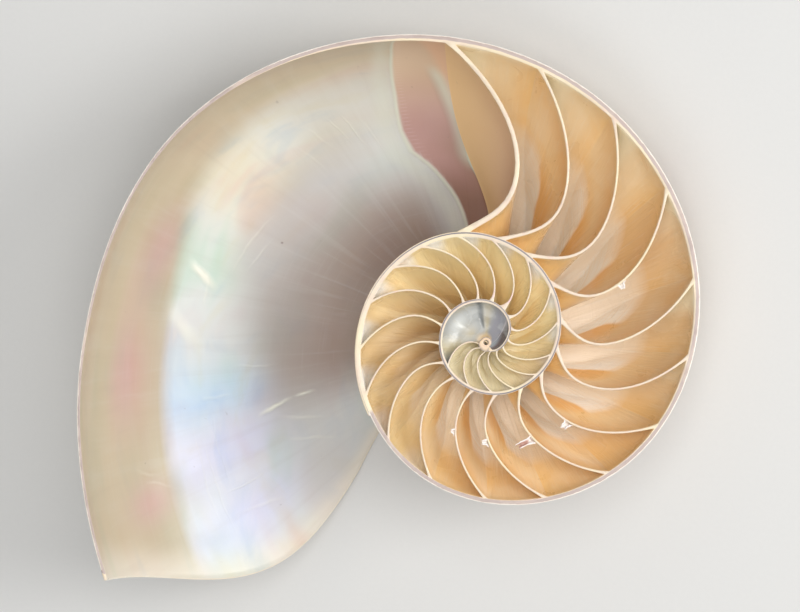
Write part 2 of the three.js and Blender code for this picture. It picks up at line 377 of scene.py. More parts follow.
def septum_back(number, share, around):
    turn = SEPTA[number][0] + bowls[number](share, around)
    size = outer_radius(turn)
    away = np.maximum(hollow_point(turn, share, around)[..., 0], THINNEST_AT * size)
    low, high = np.maximum(share - SLOPE_STEP, 0), np.minimum(share + SLOPE_STEP, 1)
    rise = np.radians(bowls[number](high, around) - bowls[number](low, around))
    slope = rise / ((high - low) * np.log(size / outer_radius(turn - 360)))
    thick = FIRST_SEPTUM_THICK if number == 0 else SEPTUM_BASE + SEPTUM_PER_RADIUS * size
    return turn - np.degrees(thick * np.hypot(1, slope) / away) - fillet(turn, share, around)


def ends_fine(count):
    """Shares from 0 to 1, close together at both ends, where the walls curve into each other."""
    return 0.5 - 0.5 * np.cos(np.pi * np.arange(count + 1) / count)


def add_hollow(stuff, back, front, steps, around_steps, across_steps, measured, bevel, open_front=False):
    """A stretch of the tube between two ends. Gives back its outline in the sawn face."""
    around = even(around_steps, 0, HOLLOW_ENDS_AROUND)
    across = ends_fine(across_steps)
    share_loop = np.concatenate([np.ones(len(around)), across[-2:0:-1], np.zeros(len(around))])
    middle = np.full(len(across) - 2, HOLLOW_ENDS_AROUND)
    around_loop = np.concatenate([around, middle, around[::-1]])
    part, share, angle = spread(even(steps)[:, None], share_loop[None], around_loop[None])
    start, end = back(share, angle), front(share, angle)
    turn = start + (end - start) * part
    side = lowered(place(turn, hollow_point(turn, share, angle)), bevel)
    add_sheet(side, stuff, turned_over=True, **measured("side", turn, share, angle, part))

    def add_end(name, turn_at, part):
        share, angle = spread(across[:, None], around[None])
        turn = turn_at(share, angle)
        points = lowered(place(turn, hollow_point(turn, share, angle)), bevel)
        facts = measured(name, turn, share, angle, np.full_like(share, part))
        add_sheet(points, stuff, turned_over=name == "back", **facts)
        return points

    back_end = add_end("back", back, 0.0)
    if open_front:
        return np.concatenate([side[::-1, -1], back_end[1:-1, 0], side[:, 0]]), side[-1]
    front_end = add_end("front", front, 1.0)
    return np.concatenate([side[:, 0], front_end[-2:0:-1, 0], side[::-1, -1], back_end[1:-1, 0]])


sawn_loops = []


def seam_distance(points):
    """Millimetres from the nearest line where one turn lies on another, or from the outer rim, and
    whether it is the outer rim."""
    radius = np.hypot(points[..., 0], points[..., 1])
    angle = np.degrees(np.arctan2(points[..., 1], points[..., 0])) % 360
    newest = np.floor((OPENING_AT - angle) / 360)
    gaps = np.stack([np.abs(radius - outer_radius(angle + 360 * (newest - k))) for k in range(4)])
    return np.minimum(gaps.min(axis=0), 3.0), gaps.argmin(axis=0) == 0


SAWN = colour(238, 220, 196)


def add_bevel(loop, bevel):
    """A closed edge strip from the foot of the bevel up to the sawn face, leaning into the shell."""
    ahead = np.roll(loop, -1, axis=0) - loop
    ahead /= np.maximum(np.linalg.norm(ahead, axis=1, keepdims=True), 1e-9)
    mean = ahead + np.roll(ahead, 1, axis=0)
    mean /= np.maximum(np.linalg.norm(mean, axis=1, keepdims=True), 1e-9)
    into_shell = np.stack([mean[:, 1], -mean[:, 0], np.zeros(len(loop))], -1)
    top = loop + into_shell * bevel
    top[:, 2] = 0
    closed = np.arange(len(loop) + 1) % len(loop)
    points = np.stack([loop[closed], top[closed]])
    seam, rim = seam_distance(points)
    add_sheet(points, "sawn_edge", SAWN, turned_over=True, seam=seam, rim=rim)
    sawn_loops.append(top)


# The living chamber: the open last stretch of the tube, from the last septum to the thin lip of the
# opening, lined with mother-of-pearl. The animal's muscles left a fine line on its wall, and behind it
# a pink and brown band up to the ridge beside the last septum.

ROOM_STEPS = 150
ROOM_AROUND = 60
ROOM_ACROSS = 24
LIP_ROUND = 0.3
BEIGE = colour(203, 186, 158)
OLIVE = colour(192, 178, 150)
PEARL = colour(222, 224, 220)
DOVE = colour(196, 192, 187)
MAUVE = colour(158, 137, 124)
ROSE = colour(204, 168, 158)
CREAM_SHEEN = colour(230, 222, 200)
LEAF_SHEEN = colour(214, 223, 212)
SKY_SHEEN = colour(198, 218, 234)
LILAC_SHEEN = colour(214, 214, 232)
LIP = colour(232, 222, 204)
BAND_TAN = colour(218, 190, 160)
BAND_ROSE = colour(186, 143, 133)
BAND_BROWN = colour(164, 128, 106)
BAND_DARK = colour(140, 99, 78)
BOWL = colour(232, 190, 154)
BOWL_GOLD = colour(240, 200, 146)
BOWL_DEEP = colour(222, 172, 124)
MUSCLE_LINE = ([0, 20, 44, 58, 66, 72, 80, 88, 110],
               [467, 468, 470, 471.4, 470.6, 466.2, 461.6, 458.6, 456])
RIDGE = ([0, 31, 44, 53, 61, 70, 76, 81, 88, 110],
         [464, 460.6, 458.6, 457, 455.6, 454, 450.5, 448.2, 446.6, 446])
# Where the pale band lies on the flank: partly the pearly lining, partly a painted highlight where a broad
# light reflects along the curve of the wall.
PEARL_HIGHLIGHT_BAND_TURNS = [470, 490, 509, 522, 532, 551, 569, 581]
PEARL_HIGHLIGHT_BAND_FROM = [28, 36, 41, 44, 46, 47.5, 48, 47]
PEARL_HIGHLIGHT_BAND_TO = [40, 50, 55, 57, 62, 70, 74, 72]


def living_chamber_measured(sheet, turn, share, around, part):
    # band: the painted highlight band; its tints are painted sheen. It goes out as the measure pearl.
    band_from = np.interp(turn, PEARL_HIGHLIGHT_BAND_TURNS, PEARL_HIGHLIGHT_BAND_FROM)
    band_to = np.interp(turn, PEARL_HIGHLIGHT_BAND_TURNS, PEARL_HIGHLIGHT_BAND_TO)
    blur = 3.0 + 9 * (1 - smooth(turn, 505, 532))
    band = smooth(around, band_from - blur, band_from + 2) * (1 - smooth(around, band_to - 4, band_to + 12))
    band = band * (0.3 + 0.7 * smooth(turn, 480, 500))
    band_tint = painted(
        PEARL, (CREAM_SHEEN, bell(turn, 506, 11)), (LEAF_SHEEN, bell(turn, 523, 6)),
        (SKY_SHEEN, bell(turn, 552, 7)), (LILAC_SHEEN, bell(turn, 563, 7) + bell(turn, 577, 6)),
    )
    # Darker towards the navel side: partly the lining's own mauve-brown, partly painted shade deep in the
    # tube.
    deep = smooth(around, 64, 92) * (1 - smooth(turn, 544, 568)) * smooth(turn, 462, 480)
    rose = smooth(around, 24, 28) * (1 - smooth(around, 34, 47)) * smooth(turn, 512, 522)
    rose = 0.3 * rose * (1 - smooth(turn, 550, 560)) + 0.8 * bell(turn, 524, 7) * bell(around, 36, 7)
    rose = rose + 0.8 * bell(turn, 545, 7) * bell(around, 33, 7) + bell(turn, 566, 3) * bell(around, 38, 8)
    # A painted highlight: the upper wall near the muscle line, before turn 494, made paler.
    painted_light_top = (1 - smooth(turn, 476, 494)) * smooth(around, 26, 44) * (1 - smooth(around, 66, 84))
    mm_per_degree = np.radians(outer_radius(turn) * np.maximum(np.cos(np.radians(around)), 0.4))
    from_muscle = (turn - np.interp(around, *MUSCLE_LINE)) * mm_per_degree
    from_suture = (turn - np.interp(around, *RIDGE)) * mm_per_degree
    # Behind the muscle line the pink and brown are the band's own; its darkest part, towards the navel side,
    # is partly painted shade.
    behind = painted(
        BAND_TAN, (BAND_ROSE, smooth(around, 25, 60)),
        (BAND_BROWN, smooth(around, 52, 72) * smooth(-from_muscle, 3, 9)),
        (BAND_DARK, smooth(around, 68, 84)),
    )
    bowl = painted(BOWL, (BOWL_DEEP, smooth(around, 60, 110)))
    outer = painted(
        BEIGE, (OLIVE, smooth(around, 26, 40)), (DOVE, smooth(around, 48, 66)), (MAUVE, deep),
        (PEARL, 0.5 * painted_light_top), (PEARL, 0.5 * smooth(turn, 554, 572) * smooth(around, 60, 76)),
        (band_tint, band), (ROSE, 0.85 * rose),
        (LIP, 0.8 * smooth(turn, opening_at(around) - 6, opening_at(around))),
        (behind, smooth(-from_muscle, -0.5, 0.8)), (bowl, smooth(-from_suture, 0, 3)),
    )
    # The inner wall darkens towards the navel: partly its own mauve, partly painted shade.
    inner = painted(BEIGE, (DOVE, smooth(around, 40, 120)), (MAUVE, 0.5 * smooth(around, 90, 158)))
    tint = painted(inner, (outer, share))
    if sheet == "back":
        tint = painted(
            BOWL, (BOWL_DEEP, smooth(around, 50, 110)), (BOWL_GOLD, bell(share, 1, 0.25)),
            (BOWL_GOLD, 1 - smooth(around, 0, 12)),
        )
        from_muscle, from_suture = from_muscle - 40, from_suture - 40
    return dict(tint=tint, turn=turn, around=around, share=share, along=part, pearl=band,
                from_muscle=from_muscle, from_suture=from_suture)


room_outline, room_rim = add_hollow(
    "living_chamber",
    back=lambda share, around: septum_front(0, share, around),
    front=lambda share, around: opening_at(around),
    steps=ROOM_STEPS, around_steps=ROOM_AROUND, across_steps=ROOM_ACROSS,
    measured=living_chamber_measured, bevel=BEVEL, open_front=True,
)
lip_outer = np.concatenate([outside_points[-1], outside_points[0, -2::-1]])
lip_middle = (lip_outer + room_rim) / 2
lip_forward = np.cross([0, 0, 1], lip_middle)
lip_forward /= np.linalg.norm(lip_forward, axis=1, keepdims=True)
half_thick = np.linalg.norm(lip_outer - room_rim, axis=1, keepdims=True) / 2
lip_middle += lip_forward * np.minimum(half_thick * 0.7, LIP_ROUND)
lip_turn = np.concatenate([outside_turn[-1], outside_turn[0, -2::-1]])
add_sheet(np.stack([lip_outer, lip_middle, room_rim]), "outside", LIP, turn=lip_turn, around=90, along=1)
shell_outline = np.concatenate([outside_points[:, 0], lip_middle[:1], room_outline[::-1], lip_middle[-1:]])
add_bevel(shell_outline[::-1], BEVEL)

# Fine creases in the nacre: turn, around, slope, half length, half width, height; the last two in degrees
# and millimetres. The first list runs around the tube, the second along it.
CREASES_AROUND = [
    (557.4, 77, -0.25, 5.5, 0.95, 0.34), (556.2, 84.5, 0.05, 3.2, 0.8, 0.28), (563.0, 83, 0.5, 7, 0.9, 0.08),
    (526.6, 52.5, 0.33, 6.5, 1.5, 0.44), (537.5, 51, 0.6, 8, 2.6, 0.18),
    (570.0, 84, 0.6, 8, 0.7, 0.08), (571.2, 66, 0.10, 7, 0.4, 0.07), (552.0, 62, 0.05, 6, 0.6, 0.05),
    (546.0, 72, 0.02, 7, 0.5, 0.05), (577.0, 68, 0.2, 8, 0.6, 0.05), (561.0, 39, 0.3, 5, 0.5, 0.05),
    (563.6, 42, 0.35, 6, 0.5, 0.05), (481.5, 54, -0.12, 9, 0.4, 0.06), (484.6, 52, -0.15, 8, 0.35, 0.05),
    (478.2, 57, -0.1, 8, 0.4, 0.05), (488.8, 52, -0.15, 7, 0.5, 0.05), (493.0, 57, -0.1, 8, 0.5, 0.04),
]
CREASES_ALONG = [
    (566, 56.0, 0.05, 12, 0.5, 0.04), (568, 58.5, 0.08, 11, 0.4, 0.04), (563, 61.5, 0.05, 9, 0.4, 0.03),
    (517, 62, -0.2, 10, 0.6, 0.08), (530, 55, 0.1, 3.5, 0.8, 0.09), (519, 66, -0.3, 6, 0.5, 0.06),
]
PINK_SHEEN = colour(250, 226, 228)
GREEN_SHEEN = colour(226, 246, 234)
BLUE_SHEEN = colour(224, 236, 252)
GOLD_SHEEN = colour(252, 244, 222)
SCAR_WHITE_AND_RIDGE_HIGHLIGHT = colour(216, 218, 198)
SPECK = colour(120, 104, 100)
CREASE_HIGHLIGHT = colour(244, 242, 226)

f = living_chamber_finish = Finish("living_chamber")
turn, around, pearl = f.measure("turn"), f.measure("around"), f.measure("pearl")
from_muscle, from_suture = f.measure("from_muscle"), f.measure("from_suture")
before_muscle = f.slide(from_muscle, -0.5, 0.5)
waver = f.sum(f.noise(scale=90), -0.5)
drift = f.noise(detail=2, distortion=0.5, at=f.along_growth(0.035, 0.05))
other_drift = f.noise(detail=3, distortion=0.5, at=f.along_growth(0.07, 0.09, 7))
# The sheen tints are painted sheen, strongest in the painted highlight band.
sheen = f.times(before_muscle, f.slide(pearl, 0, 0.6, 0.3, 0.8))
tint = f.mix(f.times(sheen, f.slide(drift, 0.5, 0.72), 0.75), f.tint, PINK_SHEEN, "MULTIPLY")
tint = f.mix(f.times(sheen, f.slide(drift, 0.5, 0.3), 0.75), tint, GREEN_SHEEN, "MULTIPLY")
tint = f.mix(f.times(sheen, f.slide(other_drift, 0.5, 0.72), 0.7), tint, BLUE_SHEEN, "MULTIPLY")
tint = f.mix(f.times(sheen, f.slide(other_drift, 0.48, 0.3), 0.5), tint, GOLD_SHEEN, "MULTIPLY")
rays = f.noise(detail=4, roughness=0.5, distortion=0.5, at=f.along_growth(0.42, 0.03))
fibres = f.noise(detail=5, roughness=0.6, at=f.along_growth(0.04, 1.1))
tint = f.mix(f.times(f.slide(rays, 0.5, 0.72), before_muscle, 0.08), tint, PEARL)
tint = f.mix(f.times(f.slide(rays, 0.5, 0.3), before_muscle, 0.06), tint, MAUVE)
tint = f.mix(f.times(f.slide(fibres, 0.52, 0.75), before_muscle, 0.05), tint, PEARL)
beside_muscle = f.line(f.sum(from_muscle, 1.4), 1.2)
ticks = f.times(f.slide(f.worked("SINE", f.times(around, 4.5)), 0.2, 0.9), beside_muscle)
tint = f.mix(f.times(ticks, f.slide(around, 72, 60), 0.08), tint, PINK_SHEEN)
muscle = f.line(f.sum(from_muscle, f.times(waver, 0.8)), 0.7)
tint = f.mix(f.times(muscle, 0.75), tint, SCAR_WHITE_AND_RIDGE_HIGHLIGHT)
tint = f.mix(f.times(f.line(f.sum(from_muscle, -2.5), 3.5), 0.35), tint, SCAR_WHITE_AND_RIDGE_HIGHLIGHT)
# broad and crisp: a painted highlight along the ridge beside the last septum, in the same white as the muscle
# scar.
broad = f.times(f.line(from_suture, 2.6), f.slide(around, 26, 36), f.slide(around, 66, 74, 1, 0))
crisp = f.times(f.line(from_suture, 0.55), f.slide(around, 64, 70), f.slide(around, 92, 97, 1, 0))
tint = f.mix(f.times(f.sum(f.times(broad, 0.75), crisp), 0.9), tint, SCAR_WHITE_AND_RIDGE_HIGHLIGHT)
creases = 0.0
wavering = f.times(waver, 3.0)
for turn_at, around_at, slope, length, width, rise in CREASES_AROUND + CREASES_ALONG:
    lengthwise = (turn_at, around_at, slope, length, width, rise) in CREASES_ALONG
    across_by = f.sum(around if lengthwise else turn, -(around_at if lengthwise else turn_at))
    along_by = f.sum(turn if lengthwise else around, -(turn_at if lengthwise else around_at))
    crease = f.line(f.sum(across_by, f.times(along_by, -slope), wavering), width)
    creases = f.sum(f.times(crease, f.line(along_by, length), rise), creases)
# The creases are painted white along their folds: a painted highlight, with the raised relief below.
tint = f.mix(f.times(creases, 2.6), tint, CREASE_HIGHLIGHT)
grit = f.noise(scale=420, detail=2)
speck = f.times(f.line(f.sum(turn, -513.9), 0.45), f.line(f.sum(around, -69.7), 0.55))
tint = f.mix(f.sum(f.times(speck, 0.8), f.times(f.slide(grit, 0.74, 0.8), 0.25)), tint, SPECK)
relief = f.sum(
    f.times(creases, 0.0009), f.times(muscle, 0.00008), f.times(broad, 0.00035), f.times(crisp, 0.00015),
    f.times(rays, 0.00004), f.times(fibres, 0.00001), f.times(f.noise(scale=1600, detail=2), 0.000006),
)
f.finish(tint, f.slide(f.noise(scale=140, detail=4), 0.3, 0.7, 0.32, 0.46), relief,
         coat_weight=0.2, coat_roughness=0.22)


# The chambers: 27 stretches that the septa closed off, each lined with the same nacre but stained amber
# by age: deep orange on the older partition, and a pale strip along the flank with a painted highlight,
# a bright glint, at its edge.

LARGE = dict(steps=10, around_steps=20, across_steps=28)
SMALL = dict(steps=6, around_steps=14, across_steps=18)
LARGE_CHAMBERS = 12
FULL_BEVEL_FROM_RADIUS = 40
LEAST_BEVEL = 0.4
AMBER = colour(245, 221, 180)
ORANGE = colour(246, 204, 138)
DEEP_ORANGE = colour(240, 182, 104)
INNER_GOLD = colour(250, 214, 146)
CREAM = colour(252, 242, 216)
BLUSH = colour(252, 238, 216)
UMBER_LINE = colour(200, 140, 104)
TAN = colour(208, 164, 114)
OLD_GOLD = colour(250, 230, 178)
OLD_BROWN = colour(249, 225, 174)
OLD_GREY = colour(250, 247, 240)
YOUNG_CREAM = colour(234, 220, 182)


def chamber_measured(sheet, turn, share, around, part):
    ventral = smooth(share, 0.45, 0.9) * (1 - smooth(around, 28, 64))
    lower = 1 - smooth(turn, 325, 372)
    # pale and corner: pale grey-white near the outer wall of each chamber, partly the nacre's own pale
    # patches and partly painted highlight that lightens those corners against their shade.
    pale = smooth(part, 0.5, 0.78) * ventral * (1 - 0.8 * lower * smooth(turn, 225, 262))
    corner = smooth(part, 0.3, 0.6) * smooth(share, 0.4, 0.75) * (1 - smooth(around, 24, 46))
    flank = smooth(share, 0.35, 0.75) * smooth(around, 52, 78)
    inner_wall = 1 - smooth(share, 0.2, 0.5)
    crease = bell(share, 0.42, 0.16) * smooth(around, 140, 156)
    # Painted shade: the chambers of the last turn darker on the right, around turn 375.
    painted_shade_right = 0.35 * bell(turn, 375, 32)
    # Painted shade: the second turn darker on its left side, around turn 185.
    painted_shade_left = 0.5 * bell(turn, 185, 42)
    zone = smooth(around, 46, 60) * (1 - smooth(around, 104, 126))
    if sheet == "back":
        glow = 0.45 + 0.55 * smooth(around, 26, 66) * smooth(share, 0.25, 0.6)
        glow = glow * (1 - 0.7 * smooth(share, 0.7, 1) * (1 - smooth(around, 30, 60)))
        edge = (1 - smooth(around, 10, 46)) * smooth(share, 0.1, 0.3) * (1 - 0.5 * smooth(share, 0.7, 1))
        last_turn = painted(
            AMBER, (ORANGE, glow), (TAN, painted_shade_right), (DEEP_ORANGE, 0.8 * smooth(glow, 0.6, 1)),
            (DEEP_ORANGE, 0.9 * edge),
        )
        second_turn = painted(
            OLD_GOLD, (OLD_BROWN, smooth(around, 30, 100)), (INNER_GOLD, 0.3 * glow), (TAN, painted_shade_left),
        )
        beyond, zone = share - 1, zone * smooth(share, 0.5, 0.7)
    else:
        beside = (1 - smooth(part, 0, 0.4)) * (1 - flank)
        last_turn = painted(
            AMBER, (ORANGE, 0.8 * beside), (ORANGE, 0.8 * lower * ventral), (TAN, painted_shade_right),
            (BLUSH, 0.9 * flank), (INNER_GOLD, inner_wall), (CREAM, pale), (UMBER_LINE, 0.9 * crease),
        )
        second_turn = painted(
            OLD_GOLD, (OLD_BROWN, 0.5 * smooth(around, 70, 140)), (INNER_GOLD, 0.4 * inner_wall),
            (TAN, painted_shade_left), (OLD_GREY, corner),
        )
        beyond, zone = part, zone * smooth(share, 0.5, 0.9)
    young = painted(YOUNG_CREAM, (OLD_GOLD, 0.2 * inner_wall), (OLD_GREY, 0.6 * pale))
    tint = painted(young, (second_turn, smooth(turn, -70, 40)), (last_turn, smooth(turn, 205, 262)))
    return dict(tint=tint, turn=turn, around=around, share=share, along=beyond,
                pearl=zone * smooth(turn, 150, 300))


for number in range(len(SEPTA) - 1):
    bevel = BEVEL * np.clip(outer_radius(SEPTA[number][0]) / FULL_BEVEL_FROM_RADIUS, LEAST_BEVEL, 1)
    add_bevel(add_hollow(
        "chamber",
        back=lambda share, around: septum_front(number + 1, share, around),
        front=lambda share, around: septum_back(number, share, around),
        measured=chamber_measured, bevel=bevel, **(LARGE if number < LARGE_CHAMBERS else SMALL),
    ), bevel)

STREAK_WHITE_AND_GLINT = colour(255, 252, 244)
STAIN = colour(234, 186, 126)

f = chamber_finish = Finish("chamber")
along, around, pearl = f.measure("along"), f.measure("around"), f.measure("pearl")
cloud = f.noise(scale=75, detail=4, distortion=0.6)
streaks = f.noise(detail=4, roughness=0.55, distortion=0.8, at=f.along_growth(0.22, 0.016, 2))
fine = f.noise(detail=5, roughness=0.6, at=f.along_growth(1.3, 0.03))
ribs = f.noise(detail=4, roughness=0.6, at=f.along_growth(0.04, 0.8))
tint = f.mix(f.times(f.slide(cloud, 0.45, 0.72), 0.3), f.tint, BLUSH)
tint = f.mix(f.times(f.slide(cloud, 0.5, 0.3), 0.3), tint, STAIN)
from_edge = f.sum(along, 0.17, f.times(f.sum(f.noise(scale=55, detail=2), -0.5), 0.3))
zone = f.times(pearl, f.slide(from_edge, 0, 0.05))
tint = f.mix(f.times(zone, 0.9), tint, BLUSH)
# glint: a painted highlight along the edge of the pale strip; the streaks in the strip are painted highlight
# as well.
glint = f.times(zone, f.slide(from_edge, 0.26, 0.1), f.slide(ribs, 0.36, 0.58, 0.5, 1))
tint = f.mix(f.times(glint, f.slide(f.noise(scale=42), 0.34, 0.52, 0.4, 1)), tint, STREAK_WHITE_AND_GLINT)
tint = f.mix(f.times(f.slide(streaks, 0.54, 0.7), zone, 0.35), tint, STREAK_WHITE_AND_GLINT)
tint = f.mix(f.times(f.slide(fine, 0.5, 0.75), 0.15), tint, STREAK_WHITE_AND_GLINT)
relief = f.sum(
    f.times(streaks, 0.0004), f.times(fine, 0.00006), f.times(ribs, zone, 0.0001),
    f.times(f.noise(scale=1500), 0.000006),
)
f.finish(tint, f.slide(cloud, 0.3, 0.7, 0.24, 0.38), relief, coat_weight=0.3, coat_roughness=0.12)


# The first hollow: the small silver-blue cap at the centre where the shell began, with a hairline across
# its wall, and the pinhole of the navel on the axis inside an orange-cream ring.

HOLLOW_BEVEL = 0.06
PIT_RADIUS = 0.6
PIT_DEPTH = 3
SILVER = colour(168, 169, 166)
SILVER_PALE = colour(216, 217, 212)
OLD_BEIGE = colour(190, 176, 142)
PALE_BEIGE = colour(222, 206, 166)
LAVENDER = colour(160, 158, 165)
TEAL_GREY = colour(146, 156, 156)
HORN_BROWN = colour(112, 98, 94)
RING_CREAM = colour(236, 206, 160)
CREASE_SHADE = colour(104, 108, 108)
GLINT = colour(252, 252, 246)
HAIRLINE_PALE = colour(206, 196, 198)
PIT_SHADE = colour(36, 24, 16)
oldest = len(SEPTA) - 1


def first_hollow_measured(sheet, turn, share, around, part):
    hairline_at = np.interp(around, [0, 45, 78, 110], [-311, -320, -332, -376])
    beyond = smooth(hairline_at - turn, -2, 2)
    # Around turn −214 a broad pale patch and a small white spot: painted sheen and a painted glint.
    tint = painted(
        SILVER, (SILVER_PALE, 0.9 * bell(turn, -214, 24) * bell(around, 56, 22)),
        (OLD_BEIGE, 0.9 * bell(turn, -207, 26) * bell(around, 98, 20)),
        (OLD_BEIGE, 0.8 * bell(turn, -274, 9)),
        (OLD_BEIGE, 0.7 * bell(turn, -240, 16) * bell(around, 20, 12)),
        (LAVENDER, 0.9 * smooth(-turn, 276, 298)),
        (GLINT, bell(turn, -213, 3.2) * bell(around, 65, 13)),
        (PALE_BEIGE, 0.9 * bell(turn, -172, 13) * smooth(around, 2, 10) * (1 - smooth(around, 70, 110))),
        (HORN_BROWN, beyond * (1 - smooth(around, 55, 85))), (TEAL_GREY, 0.8 * beyond * bell(around, 88, 12)),
        (RING_CREAM, smooth(around, 116, 134)), (RING_CREAM, 1 - smooth(share, 0.3, 0.7)),
    )
    return dict(tint=tint, turn=turn, around=around, share=share, along=part)


add_bevel(add_hollow(
    "first_hollow",
    back=lambda share, around: np.full_like(share, FIRST_HOLLOW_AT),
    front=lambda share, around: septum_back(oldest, share, around),
    steps=50, around_steps=14, across_steps=18, measured=first_hollow_measured, bevel=HOLLOW_BEVEL,
), HOLLOW_BEVEL)
pit_turn = even(16, 0, 360)
pit_rim = lowered(place(pit_turn, np.stack([np.full(17, PIT_RADIUS), np.zeros(17)], -1)), HOLLOW_BEVEL)
pit_rim[-1] = pit_rim[0]
pit_bottom = np.broadcast_to([0.0, 0.0, -PIT_DEPTH], pit_rim.shape)
# The pit is painted near black: painted shade inside the pinhole.
add_sheet(np.stack([pit_rim, pit_bottom]), "first_hollow", PIT_SHADE)
add_bevel(pit_rim[:-1], HOLLOW_BEVEL)

f = first_hollow_finish = Finish("first_hollow")
turn, around = f.measure("turn"), f.measure("around")
ripple = f.noise(scale=260, detail=3, distortion=0.5)
lines = f.noise(detail=4, roughness=0.6, at=f.along_growth(0.5, 0.03))
on_wall = f.slide(f.measure("share"), 0.0, 0.2)
tint = f.mix(f.times(f.slide(ripple, 0.45, 0.7), on_wall, 0.35), f.tint, SILVER_PALE)
tint = f.mix(f.times(f.slide(lines, 0.5, 0.7), on_wall, 0.25), tint, OLD_BEIGE)
reach = f.times(f.slide(around, 0, 12), f.slide(around, 84, 110, 1, 0))
# creased: a dark fold across the wall, painted shade in the crease over its dent in the relief.
creased = f.times(f.line(f.sum(turn, 260, f.times(ripple, 5), -2.5), 7), reach)
tint = f.mix(f.times(creased, 0.75), tint, CREASE_SHADE)
curve = f.sum(f.times(around, 0.12), f.times(f.worked("POWER", f.times(around, 0.011), 4.0), 34))
hairline = f.times(f.line(f.sum(turn, 311, curve), 3), on_wall, f.slide(around, 104, 112, 1, 0))
tint = f.mix(f.times(hairline, 0.9), tint, HAIRLINE_PALE)
relief = f.sum(f.times(ripple, 0.0001), f.times(creased, -0.0002), f.times(f.noise(scale=2200), 0.000005))
f.finish(tint, f.slide(ripple, 0.3, 0.7, 0.18, 0.32), relief, coat_weight=0.4, coat_roughness=0.1)


# The sawn face: the polished cut through wall, lining and septa, ivory white. Where each turn lies on the
# one before it, a thin slate-grey seam shows, and the outer wall has a grey-purple growth layer.

SEAM_FROM = -395
SEAM_STEP = 2.5
CLOSED_SEAM_AT = 182
CLOSED_SEAM_SPREAD = 38
CLOSED_SEAM_FADE = 0.22
FLARE_PINK = colour(236, 196, 200)
seam_turn = np.arange(SEAM_FROM, OPENING_AT - 360 - 1, SEAM_STEP)
seam_line = place(seam_turn, np.stack([outer_radius(seam_turn), 0 * seam_turn], -1))
flat_points = np.concatenate(sawn_loops + [seam_line])[:, :2]
sizes = [len(loop) for loop in sawn_loops]
starts = np.concatenate([[0], np.cumsum(sizes)])
loops = [list(range(start, start + size)) for start, size in zip(starts, sizes)]
loops[0].reverse()
seam_edges = [(k, k + 1) for k in range(starts[-1], len(flat_points) - 1)]
flat, _, triangles, _, _, belongs = geometry.delaunay_2d_cdt(
    [Vector(p) for p in flat_points.tolist()], seam_edges, loops, 1, 1e-6
)
flat = np.array([(x, y, 0.0) for x, y in flat])
seam, rim = seam_distance(flat)
from_axis = np.hypot(flat[:, 0], flat[:, 1])
turned_by = np.degrees(np.arctan2(flat[:, 1], flat[:, 0]))
# On the left, the seam of the second turn is closed and hardly shows.
closed_seam = bell(turned_by % 360, CLOSED_SEAM_AT, CLOSED_SEAM_SPREAD) * smooth(from_axis, 18, 22)
seam = seam + CLOSED_SEAM_FADE * closed_seam * (1 - rim)
flared = smooth(from_axis, 10.5, 11.2) * (1 - smooth(from_axis, 12.5, 14.5))
flared = flared * bell(turned_by, FLARED_AT, FLARED_SPREAD + 4)
sawn_tint = painted(SAWN, (FLARE_PINK, 0.9 * flared), (RING_CREAM, 1 - smooth(from_axis, 1.2, 3)))
first_corner = add_points(flat, sawn_tint, dict(seam=seam, rim=rim))[0]
for (a, b, c), faces in zip(triangles, belongs):
    if list(faces) == [0]:
        turned = np.cross(flat[b] - flat[a], flat[c] - flat[a])[2] < 0
        skin_faces.append([first_corner + k for k in ((a, c, b) if turned else (a, b, c))])
        skin_stuffs.append(STUFFS.index("sawn_edge"))

SEAM_SLATE = colour(98, 94, 112)
LAYER_GREY = colour(194, 175, 167)
RIM_WHITE = colour(246, 238, 228)
SAWN_PINK = colour(236, 204, 186)
SAWN_CREAM = colour(246, 230, 192)

f = sawn_finish = Finish("sawn_edge")
seam, rim = f.measure("seam"), f.measure("rim")
mottle = f.noise(scale=500, detail=3)
patchy = f.noise(scale=60, detail=3)
tint = f.mix(f.times(f.slide(mottle, 0.4, 0.7), 0.5), f.tint, SAWN_PINK)
tint = f.mix(f.slide(patchy, 0.45, 0.65, 0, 0.8), tint, SAWN_CREAM)
from_rim = f.sum(seam, f.times(f.sum(mottle, -0.5), 0.35))
within_layer = f.times(f.slide(from_rim, 0.2, 0.34), f.slide(from_rim, 0.95, 1.2, 1, 0))
layer = f.times(rim, within_layer, f.slide(patchy, 0.3, 0.5, 0.6, 1))
tint = f.mix(layer, tint, LAYER_GREY)
tint = f.mix(f.times(rim, f.slide(from_rim, 0.16, 0.3, 1, 0)), tint, RIM_WHITE)
inside = f.sum(1.0, f.times(rim, -1.0))
slate = f.times(inside, f.line(seam, 0.3), f.slide(patchy, 0.3, 0.6, 0.75, 1))
tint = f.mix(slate, tint, SEAM_SLATE)
saw_marks = f.noise(scale=1400, detail=3)
relief = f.sum(f.times(slate, -0.00006), f.times(layer, -0.00002), f.times(saw_marks, 0.000012))
f.finish(tint, f.slide(saw_marks, 0.3, 0.7, 0.35, 0.55), relief, coat_weight=0.1)


# The half as it lies: tipped to the angle at which it rests on its rounded side. The points of all
# sheets are joined into one closed mesh, which stands for the solid and fills the same box.

REST_LEAN = 14.7
REST_LEAN_SIDE = 35
MM = 0.001
SHARP_FROM_DEGREES = 48
side = math.radians(REST_LEAN_SIDE)
tip = Quaternion((-math.sin(side), math.cos(side), 0), math.radians(REST_LEAN)).to_matrix()
all_points = np.concatenate(skin_points) * MM @ np.array(tip).T
low, high = all_points.min(axis=0), all_points.max(axis=0)
box_low, box_high = (np.array(corner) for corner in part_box("nautilus_shell_half"))
axis_at = (box_low + box_high) / 2 - (low + high) / 2
axis_at[2] = box_low[2] - low[2]
all_points += axis_at

